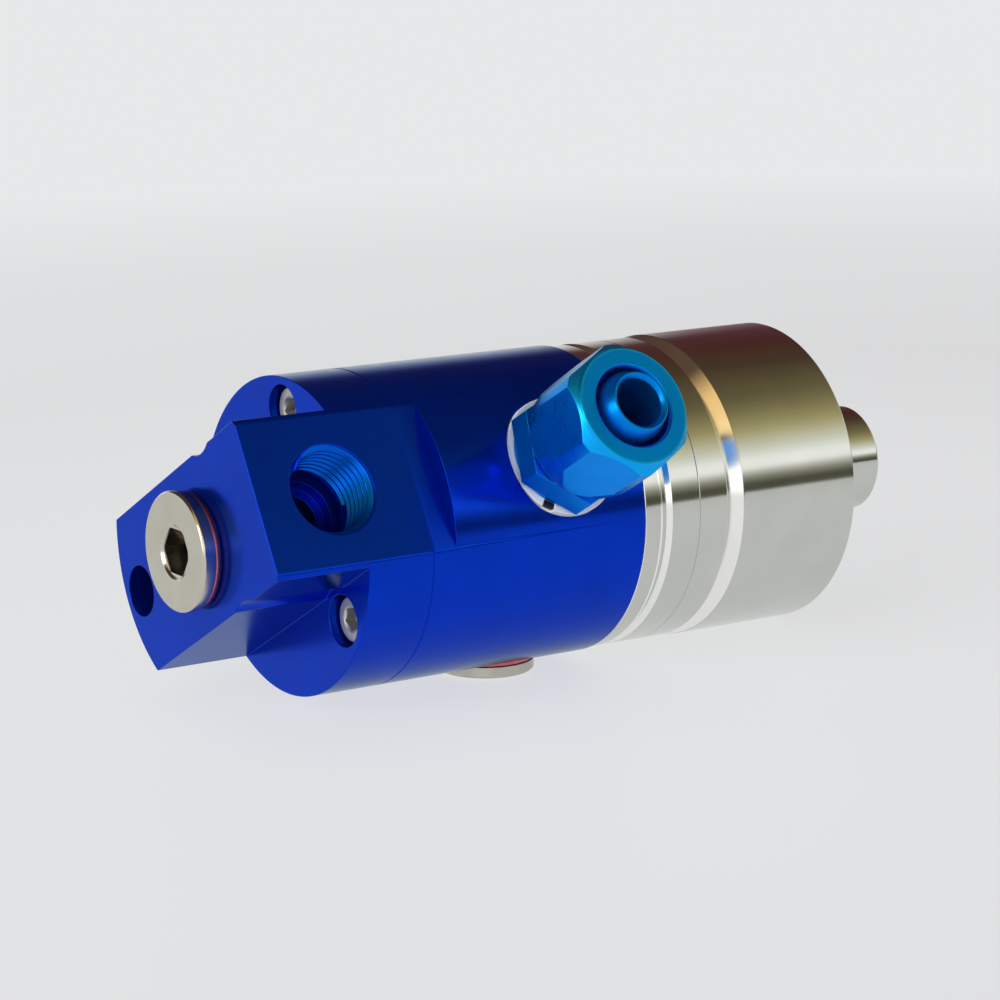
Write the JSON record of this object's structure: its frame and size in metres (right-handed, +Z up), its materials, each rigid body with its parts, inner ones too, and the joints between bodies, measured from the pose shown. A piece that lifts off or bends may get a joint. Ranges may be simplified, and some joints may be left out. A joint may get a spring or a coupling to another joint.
{
  "type": "hydraulic rotary union",
  "caption": "Hydraulic rotary union: a ported blue stator with drain fitting and screw plugs, and a steel rotor flange with a spigot that spins in ball bearings.",
  "frame": {"origin": "centre of the rotor flange's rear face, which is its mounting face on the spindle", "axes": "+X along the union's axis, from the cap to the rotor's spigot; +Z up, with the inlet port 30 degrees and the drain fitting 29.6 degrees above the horizontal on the -Y side, and the drain plug at -Z"},
  "size_m": [0.1565, 0.0821, 0.0678],
  "materials": {
    "blue_anodised": "glossy deep blue anodised",
    "light_blue_anodised": "satin light blue anodised",
    "turned_stainless": "fine turned, bright",
    "plug_steel": "turned, slightly warm",
    "screw_steel": "plain zinc grey",
    "bearing_steel": "ground",
    "cage_brass": "machined",
    "copper": "annealed copper, dull",
    "white_nylon": "smooth, slightly translucent",
    "black_rubber": "moulded",
    "brown_rubber": "moulded",
    "seal_ceramic": "lapped dark ceramic",
    "spring_steel": "drawn wire"
  },
  "bodies": {
    "stator": {"end_cap": "blue_anodised", "end_cap_block": "blue_anodised", "inlet_plug": "plug_steel", "inlet_plug_washer": "copper", "cap_screws": "screw_steel", "cap_o_ring": "black_rubber", "tube_o_ring": "black_rubber", "anti_rotation_pins": "screw_steel", "seal_spring": "spring_steel", "housing": "blue_anodised", "drain_washer": "white_nylon", "drain_body": "light_blue_anodised", "drain_nut": "light_blue_anodised", "drain_plug": "plug_steel", "drain_plug_washer": "copper", "lock_ring": "turned_stainless", "bearing_sleeve": "turned_stainless", "sleeve_o_ring": "black_rubber", "front_cover": "turned_stainless", "lip_seal": "brown_rubber", "outer_spacer": "bearing_steel", "bearing_a_outer_ring": "bearing_steel", "bearing_b_outer_ring": "bearing_steel"},
    "rotor": {"rotor": "turned_stainless", "rotor_spigot": "turned_stainless", "face_o_ring": "black_rubber", "inner_spacer": "bearing_steel", "shaft_circlip": "screw_steel", "rotor_seal_head": "turned_stainless", "rotor_seal_ring": "seal_ceramic", "bearing_a_inner_ring": "bearing_steel", "bearing_b_inner_ring": "bearing_steel"},
    "bearing_cages": {"bearing_a_cage": "cage_brass", "bearing_a_balls": "bearing_steel", "bearing_b_cage": "cage_brass", "bearing_b_balls": "bearing_steel"},
    "floating_seal": {"seal_carrier": "turned_stainless", "stationary_seal_ring": "seal_ceramic"}
  },
  "joints": [
    {"name": "rotor_spin", "type": "hinge", "parent": "stator", "child": "rotor", "pos_m": [0, 0, 0], "axis": [1, 0, 0], "continuous": true},
    {"name": "cage_spin", "type": "hinge", "parent": "stator", "child": "bearing_cages", "pos_m": [0, 0, 0], "axis": [1, 0, 0], "continuous": true},
    {"name": "seal_slide", "type": "slide", "parent": "stator", "child": "floating_seal", "axis": [1, 0, 0], "range_m": [-0.001, 0], "stiffness_N_per_m": 1000, "springref_m": 0.008, "deforming": ["seal_spring"]}
  ],
  "couplings": [
    {"joint": "cage_spin", "follows": "rotor_spin", "ratio": 0.4346}
  ]
}
